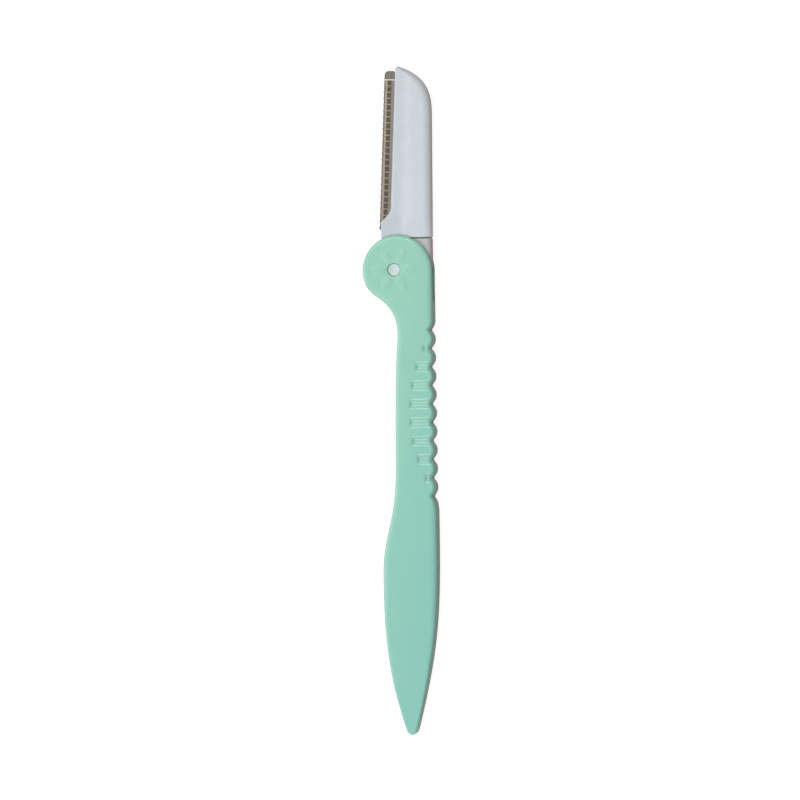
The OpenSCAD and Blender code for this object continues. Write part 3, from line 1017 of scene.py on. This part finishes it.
    def build(self, material: bpy.types.Material) -> None:
        """Makes the handle's mesh, with its slots and the hole for the pin.

        Args:
            material: its finish.
        """
        front = HEAD.back - 2 * self.knuckle_r
        grid = Grid(
            (front, -self.reach, -self.half_t),
            (HEAD.back, self.knuckle_r, self.half_t + self.petal_h), self.step)
        x, y = grid.plan()
        level = grid.levels()
        z = np.abs(level)
        plan = polygon_distance(self.outline(), x, y)
        wide, high = self.rounding(x, y)
        face = (self.half_thickness(y) - self.grooves(x, y))[:, :, None]
        height = z - face - self.relief(x, y)[:, :, None] * (level > 0.0)
        body = rounded_slab(plan[:, :, None], height, wide, high)
        slots = [
            (self.fork(x, y), HEAD.arm_t / 2 + self.side_gap),
            (self.nest(x, y, HEAD.edge_x + self.nest_gap), self.nest_w / 2),
            (self.nest(x, y, HEAD.edge_x - HEAD.blade_show + self.stop_gap), self.mouth_w / 2),
            (np.maximum(np.maximum(y, -self.relief_len - y), -x), self.nest_w / 2),
        ]
        for region, half in slots:
            tool = np.maximum(region[:, :, None], z - half)
            body = smooth_max(body, -tool, self.slot_ease)
        hole = (np.hypot(x, y) - self.hole_r)[:, :, None]
        body = smooth_max(body, -hole, self.hole_ease)
        piece("handle_moulding", body, grid, material, Body.HANDLE, "handle")


@dataclass(frozen=True)
class Arm:
    """The white arm between the cheeks, with its hub and square heel, in millimetres."""

    back_step: float = 0.05         # of its back edge, inside the handle's
    edge_r: float = 0.3             # rounding of its edges
    rim_r: float = 1.22             # rounding of its back edge
    rim_in: Point = (2.4, 1.3)      # from the back edge, where the rounding grows
    pin_r: float = 1.56
    hole_ease: float = 0.15
    web_t: float = 0.7
    web_len: float = 0.4
    web_in: float = 0.2             # of the web's sides, inside the arm's
    seam_ease: float = 0.06
    overrun: float = 3.0            # of the heel, past the seam that cuts it
    step: float = 0.15

    def build(self, material: bpy.types.Material) -> None:
        """Makes the arm's mesh, with a thin web that closes the seam to the holder.

        Args:
            material: its finish.
        """
        front = -HEAD.arm_front
        back = HEAD.back - self.back_step
        top = HEAD.seam_y - HEAD.seam_gap / 2 - self.seam_ease
        half = HEAD.arm_t / 2
        grid = Grid(
            (-HEAD.hub_r, -HEAD.hub_r, -half), (back, top + self.web_len, half), self.step)
        x, y = grid.plan()
        z = np.abs(grid.levels())
        reach = np.hypot(x, y)
        heel_top = top + self.overrun
        heel = polygon_distance(
            [(front, 0.0), (back, 0.0), (back, heel_top), (front, heel_top)], x, y)
        plan = np.minimum(reach - HEAD.hub_r, heel)[:, :, None]
        rim_start, rim_full = self.rim_in
        at_back = smooth_step(x, back - rim_start, back - rim_full)
        soft = blend(self.edge_r, self.rim_r, at_back)[:, :, None]
        body = rounded_slab(plan, z - half, soft, soft)
        body = smooth_max(body, (y - top)[:, :, None], SEAM_EDGE)
        web = np.maximum(x - back, front - x) + self.web_in
        web = np.maximum(np.maximum(web, -y), y - top - self.web_len)[:, :, None]
        body = np.minimum(body, np.maximum(web, z - self.web_t / 2))
        body = smooth_max(body, (self.pin_r - reach)[:, :, None], self.hole_ease)
        piece("arm_moulding", body, grid, material, Body.HEAD, "blade_arm")


@dataclass(frozen=True)
class Holder:
    """The white holder: a wedge with a rounded back and crown, on a thinner block.

    Lengths are in millimetres, and inward is counted from the line of its nose.
    """

    thick: float = 3.4
    front_t: float = 2.0            # thickness at the nose
    band: float = 5.1               # flat band along its back, at full thickness
    crown_len: float = 12.2
    crown_x: float = 1.5            # where the crown is highest
    crown_shares: Place = (0.33, 0.99, 0.225)
    peak_r: float = 0.75
    rim_r: float = 1.6              # rounding of the back, down the side
    rim_w: float = 2.1              # and across the face
    rim_in: Point = (0.8, 4.0)      # inward, where the nose's rounding grows to that
    most_share: float = 0.96        # of half the thickness, the most that a rounding takes
    nose_r: float = 0.95
    nose_over: float = 1.0          # past the slant, where the nose's rounding is full
    slope_over: float = 2.0         # past the slant, where the front's thickness is reached
    slope_ease: float = 0.25        # rounding of the crease between front and band
    block_r: float = 0.45
    block_back: float = 6.0         # x, inside the holder
    slant_in: Point = (0.8, 0.4)    # overlap of the slant with the wedge
    slant_ease: float = 1.0
    ramp_y: float = 8.8             # where it thickens above the seam
    ramp_len: float = 4.0
    ramp_ease: float = 0.3
    seam_ease: float = 0.06
    step: float = 0.12

    @property
    def shoulder(self) -> float:
        """x of its back edge, below the crown."""
        return HEAD.back + HEAD.lean

    @property
    def slant_top(self) -> float:
        """Height at which the slant meets the nose."""
        return HEAD.block_top + HEAD.slant_h

    def outline(self) -> np.ndarray:
        """Outline of the wedge: up the back, over the crown and down the nose.

        Returns:
            An array with one row for each corner.
        """
        foot_y = HEAD.top - self.crown_len
        rise, shoulder_in, crown_drop = self.crown_shares
        crown = bezier(
            (self.shoulder, foot_y),
            (self.shoulder, blend(foot_y, HEAD.top, rise)),
            (blend(self.crown_x, self.shoulder, shoulder_in),
             HEAD.top - crown_drop * self.crown_len),
            (self.crown_x, HEAD.top), CROWN_CURVE)
        peak = arc((self.crown_x, HEAD.top - self.peak_r), self.peak_r, 90, 180, PEAK_ARC)
        return np.vstack([
            [(HEAD.nose_x(0.0), 0.0), (HEAD.back, 0.0), (HEAD.back, HEAD.seam_y)],
            crown,
            peak,
            [(HEAD.nose_x(HEAD.top - self.peak_r), HEAD.top - self.peak_r)],
        ])

    def plan(self, x: Field, y: Field) -> Field:
        """Plan of the wedge and the block under it, in one.

        Args:
            x: first coordinate of each column.
            y: second coordinate of each column.

        Returns:
            The plan's field.
        """
        front = -HEAD.arm_front
        nose = HEAD.nose_x(self.slant_top)
        block = polygon_distance([
            (front, 0.0),
            (self.block_back, 0.0),
            (self.block_back, HEAD.block_top),
            (nose + self.slant_in[0], self.slant_top + self.slant_in[1]),
            (nose, self.slant_top),
            (front, HEAD.block_top),
        ], x, y)
        return smooth_min(polygon_distance(self.outline(), x, y), block, self.slant_ease)

    def thickness(self, x: Field, y: Field) -> Field:
        """Thickness: a front that slopes up to the band, and a ramp above the seam.

        Args:
            x: first coordinate of each column.
            y: second coordinate of each column.

        Returns:
            An array of the same shape.
        """
        inward = x - HEAD.nose_x(y)
        crease = self.shoulder - self.band - HEAD.nose_x(y)
        share = (inward - self.nose_r) / (crease - self.nose_r)
        slope = blend(self.front_t, self.thick, share)
        ramp = blend(HEAD.arm_t, self.thick, (y - self.ramp_y) / self.ramp_len)
        cap = np.full_like(x, self.thick)
        whole = smooth_min(smooth_min(slope, cap, self.slope_ease), ramp, self.ramp_ease)
        lowest = blend(
            HEAD.arm_t, self.front_t,
            smooth_step(y, HEAD.block_top, self.slant_top + self.slope_over))
        return np.maximum(whole, lowest)

    def build(self, material: bpy.types.Material) -> None:
        """Makes the holder's mesh.

        Args:
            material: its finish.
        """
        low = HEAD.seam_y + HEAD.seam_gap / 2
        half = self.thick / 2
        grid = Grid(
            (-HEAD.arm_front, low, -half), (self.shoulder, HEAD.top, half), self.step)
        x, y = grid.plan()
        z = np.abs(grid.levels())
        thickness = self.thickness(x, y)
        up_nose = smooth_step(y, HEAD.block_top, self.slant_top + self.nose_over)
        nose = blend(self.block_r, self.nose_r, up_nose)
        to_rim = smooth_step(x - HEAD.nose_x(y), *self.rim_in)
        wide = blend(nose, self.rim_w, to_rim)
        soft = np.minimum(blend(nose, self.rim_r, to_rim), thickness / 2 * self.most_share)
        height = z - thickness[:, :, None] / 2
        body = rounded_slab(
            self.plan(x, y)[:, :, None], height, wide[:, :, None], soft[:, :, None])
        body = smooth_max(body, (low + self.seam_ease - y)[:, :, None], SEAM_EDGE)
        piece("holder_moulding", body, grid, material, Body.HEAD, "blade_holder")


@dataclass(frozen=True)
class Pin:
    """The hinge pin: a plain cylinder with eased rims and shallow dished ends."""

    radius: float = 1.55
    length: float = 4.2
    rim: float = 0.22
    dish_r: float = 1.35
    dish: float = 0.2
    step: float = 0.08

    def build(self, material: bpy.types.Material) -> None:
        """Makes the pin's mesh.

        Args:
            material: its finish.
        """
        half = self.length / 2
        grid = Grid(
            (-self.radius, -self.radius, -half), (self.radius, self.radius, half), self.step)
        x, y = grid.plan()
        z = np.abs(grid.levels())
        reach = np.hypot(x, y)[:, :, None]
        sunk = self.dish * (1.0 - smooth_step(reach, 0.0, self.dish_r))
        body = rounded_slab(reach - self.radius, z - half + sunk, self.rim, self.rim)
        piece("pin_moulding", body, grid, material, Body.HEAD, "hinge_pin")


def dress_node(name: str, material: bpy.types.Material) -> None:
    """Gives a frame node that keeps its own shape a better material.

    Args:
        name: the node.
        material: its finish.
    """
    obj = frame["nodes"][name]
    for slot in obj.material_slots:
        slot.material = material
    LOG.info("%s: frame solid, %s", name, material.name)


# Stage, lights and camera

IMAGE = 800                     # pixels
PIN_PIXEL = (394.0, 269.8)      # where the picture shows the pin
MM_PER_PIXEL = 0.245


@dataclass(frozen=True)
class Lamp:
    """A soft box, placed in metres."""

    name: str
    place: Place
    size: Point
    power: float
    aim: Place = (0.0, 0.0, 0.0)
    tint: str = "#FFFFFF"

    def build(self) -> None:
        """Hangs the box, turned towards its aim."""
        data = bpy.data.lights.new(self.name, "AREA")
        data.shape = "RECTANGLE"
        data.size, data.size_y = self.size
        data.energy = self.power
        data.color = linear(self.tint)[:3]
        lamp = bpy.data.objects.new(self.name, data)
        lamp.location = self.place
        way = Vector(self.aim) - Vector(self.place)
        lamp.rotation_euler = way.to_track_quat("-Z", "Y").to_euler()
        bpy.context.scene.collection.objects.link(lamp)


@dataclass(frozen=True)
class Studio:
    """Camera, lights and cards of a plain product photograph, in metres and degrees."""

    roll: float = 13.0              # of the razor about its length
    turn: float = 1.0               # of the razor in the picture's plane
    distance: float = 0.9
    sensor: float = 36.0            # millimetres
    clip: float = 0.01
    strip_place: Place = (-0.32, 0.60, 0.89)
    strip_size: Point = (1.0, 0.06)
    strip_power: float = 5.4
    box_place: Place = (-0.90, 0.0, 0.30)
    box_size: Point = (0.5, 0.48)
    box_power: float = 2.15
    box_tint: str = "#FFE2EA"       # as the neighbouring pink razor colours the rims
    world_fill: float = 0.44        # strength of the surroundings as a light
    floor_colour: str = "#837C74"
    floor_half: float = 3.0
    floor_gap: float = 0.05         # millimetres that keep it clear of the flat back face
    floor_mirror: float = 0.9       # its strength in reflections
    floor_samples: int = 8
    painted_shadow_reach: float = 12.0           # reach of the painted shadow round the razor, in millimetres
    open_side: Place = (-0.9, 0.0, 0.44)    # way to the left box
    flag_colour: str = "#A67C72"
    flag_roughness: float = 0.9
    flag_x: float = 0.145
    flag_half: float = 0.30
    flag_height: float = 0.09

    def camera(self) -> None:
        """Looks down at the razor from the photograph's side, with the pin on its pixel."""
        roll = math.radians(self.roll)
        back = Vector((math.sin(roll), 0.0, math.cos(roll)))
        up = Matrix.Rotation(-math.radians(self.turn), 3, back) @ Vector((0.0, 1.0, 0.0))
        right = up.cross(back)
        per_pixel = MM_PER_PIXEL * MM
        pin = Vector(HINGE) + Vector((0.0, 0.0, Pin().length / 2 * MM))
        centre = pin + right * (IMAGE / 2 - PIN_PIXEL[0]) * per_pixel
        centre -= up * (IMAGE / 2 - PIN_PIXEL[1]) * per_pixel
        data = bpy.data.cameras.new("camera")
        data.sensor_width = self.sensor
        data.lens = self.sensor * self.distance / (IMAGE * per_pixel)
        data.clip_start = self.clip
        camera = bpy.data.objects.new("camera", data)
        axes = Matrix((right, up, back)).transposed().to_4x4()
        camera.matrix_world = Matrix.Translation(centre + back * self.distance) @ axes
        bpy.context.scene.collection.objects.link(camera)
        bpy.context.scene.camera = camera

    def lights(self) -> None:
        """Two strip boxes above and below the razor, a low wide one to its left, and sky."""
        x, y, z = self.strip_place
        for name, side in (("upper_strip", 1.0), ("lower_strip", -1.0)):
            Lamp(name, (x, side * y, z), self.strip_size, self.strip_power,
                 aim=(x, 0.0, 0.0)).build()
        Lamp("left_box", self.box_place, self.box_size, self.box_power,
             tint=self.box_tint).build()
        world = bpy.data.worlds.new("studio")
        world.use_nodes = True
        tree = world.node_tree
        tree.nodes.clear()
        strength = add(
            tree, "ShaderNodeMapRange",
            {"Value": self.seen(tree), "To Min": self.world_fill, "To Max": 1.0})
        background = add(tree, "ShaderNodeBackground", {"Strength": strength.outputs[0]})
        add(tree, "ShaderNodeOutputWorld", {"Surface": background.outputs[0]})
        bpy.context.scene.world = world

    def seen(self, tree: bpy.types.NodeTree,
             shade: bpy.types.NodeSocket | None = None) -> bpy.types.NodeSocket:
        """Tells the rays that show the white surroundings: camera, glossy and transmission.

        Args:
            tree: the node tree.
            shade: socket that darkens the reflections, or None.

        Returns:
            A socket, 1 for those rays and 0 for the others.
        """
        rays = add(tree, "ShaderNodeLightPath")
        mirrored = add(
            tree, "ShaderNodeMath",
            {0: rays.outputs["Is Glossy Ray"], 1: rays.outputs["Is Transmission Ray"]},
            operation="MAXIMUM").outputs[0]
        if shade is not None:
            mirrored = add(
                tree, "ShaderNodeMath", {0: mirrored, 1: shade}, operation="MULTIPLY").outputs[0]
        return add(
            tree, "ShaderNodeMath", {0: rays.outputs["Is Camera Ray"], 1: mirrored},
            operation="MAXIMUM").outputs[0]

    def sheet(self, name: str, corners: Sequence[Place],
              material: bpy.types.Material) -> bpy.types.Object:
        """Stands up a flat card of the studio, which is no part of the razor.

        Args:
            name: the object's name.
            corners: its four corners, in order.
            material: its finish.

        Returns:
            The new object.
        """
        mesh = bpy.data.meshes.new(name)
        mesh.from_pydata(corners, [], [tuple(range(CORNERS))])
        mesh.materials.append(material)
        card = bpy.data.objects.new(name, mesh)
        bpy.context.scene.collection.objects.link(card)
        return card

    def floor(self) -> None:
        """Lays a pale sheet that looks white and keeps the shadow; in the plastic's reflections it
        carries a painted shadow of the razor.
        """
        material, tree = Finish("white card").start()
        # Occlusion toward the left box darkens the sheet only in reflections: a painted shadow of
        # the razor.
        towards_light = add(tree, "ShaderNodeCombineXYZ", dict(zip("XYZ", self.open_side)))
        open_sky = add(
            tree, "ShaderNodeAmbientOcclusion",
            {"Normal": towards_light.outputs[0], "Distance": self.painted_shadow_reach * MM},
            samples=self.floor_samples)
        card = add(tree, "ShaderNodeBsdfDiffuse", {"Color": linear(self.floor_colour)})
        lift = add(
            tree, "ShaderNodeMapRange",
            {"Value": self.seen(tree, open_sky.outputs["AO"]),
             "To Min": 0.0, "To Max": self.floor_mirror})
        glow = add(tree, "ShaderNodeEmission", {"Strength": lift.outputs[0]})
        both = add(tree, "ShaderNodeAddShader", {0: card.outputs[0], 1: glow.outputs[0]})
        add(tree, "ShaderNodeOutputMaterial", {"Surface": both.outputs[0]})
        half, low = self.floor_half, -self.floor_gap * MM
        self.sheet(
            "floor",
            [(-half, -half, low), (half, -half, low), (half, half, low), (-half, half, low)],
            material)

    def flag(self) -> None:
        """Stands a dark card at the right, seen only in reflections, to draw the back edge."""
        finish = Finish("dark card")
        material, tree = finish.start()
        finish.surface(
            tree, {"Base Color": linear(self.flag_colour), "Roughness": self.flag_roughness})
        x, half, high = self.flag_x, self.flag_half, self.flag_height
        card = self.sheet(
            "flag", [(x, -half, 0.0), (x, half, 0.0), (x, half, high), (x, -half, high)],
            material)
        card.visible_camera = False


def main() -> None:
    """Builds the razor's looks on the frame."""
    logging.basicConfig(level=logging.INFO, format="%(name)s %(message)s")
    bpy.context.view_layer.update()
    scene = bpy.context.scene
    scene.view_settings.view_transform = "Standard"

    # Mint ABS from a polished mould: a pastel with wide, soft highlights on its rims, darker
    # toward the tip and, as painted shade, toward the back edge.
    mint = ShadeTonedPlastic(
        "mint ABS, moulded", "#98D0BB", roughness=0.18, shine=0.36, flow=0.015).build()
    # White ABS moulded round the blade: a cool, matt white, with painted shade in a cooler tone
    # over its sloping front.
    cool_shaded_white = CoolShadedPlastic(
        "white ABS, moulded round the blade", "#CBD3D8", roughness=0.27).build()
    # White ABS on the arm, darkened to a warmer grey as painted shade where it lies recessed
    # between the cheeks, with no sharp highlights.
    arm_white_in_painted_shade = MouldedPlastic("white ABS, moulded", "#BCBBBD").build()
    # The pin's end was pressed home, which leaves it smooth; its green tint is painted bounce
    # light from the mint round it.
    pin_white_with_painted_bounce = MouldedPlastic("white ABS, pressed pin", "#C6D8D7", shine=0.3).build()
    # Stainless steel, ground and then honed at its edge: its tones are painted reflections, a
    # light bevel beside a dark flat.
    steel = StripSteel(
        "stainless steel, ground and honed",
        tones=((0.0, "#6E695E"), (0.28, "#7C7669"), (0.45, "#A49D8F"), (0.75, "#9A9384"),
               (0.95, "#60564A"), (7.5, "#60564A")),
        end_tone="#7A746C", end_from=37.2, roughness=0.34, line=0.1, cloud=0.2).build()
    # Stainless foil with etched windows, folded over the edge: its tones are painted reflections,
    # a dull fold and a paler flat, with a painted highlight along its upper end.
    foil = StripSteel(
        "stainless foil, etched",
        tones=((0.0, "#7F7469"), (0.28, "#8A7F76"), (0.5, "#A99F93"), (0.9, "#989285"),
               (1.7, "#847F77"), (2.2, "#827E78"), (2.6, "#82807B")),
        end_tone="#C9C6C0", end_from=37.02, roughness=0.36, line=0.08, cloud=0.1).build()

    Handle().build(mint)
    Arm().build(arm_white_in_painted_shade)
    Holder().build(cool_shaded_white)
    Pin().build(pin_white_with_painted_bounce)
    dress_node("blade", steel)
    dress_node("blade_guard", foil)

    studio = Studio()
    studio.camera()
    studio.lights()
    studio.floor()
    studio.flag()


if __name__ == "__main__":
    main()
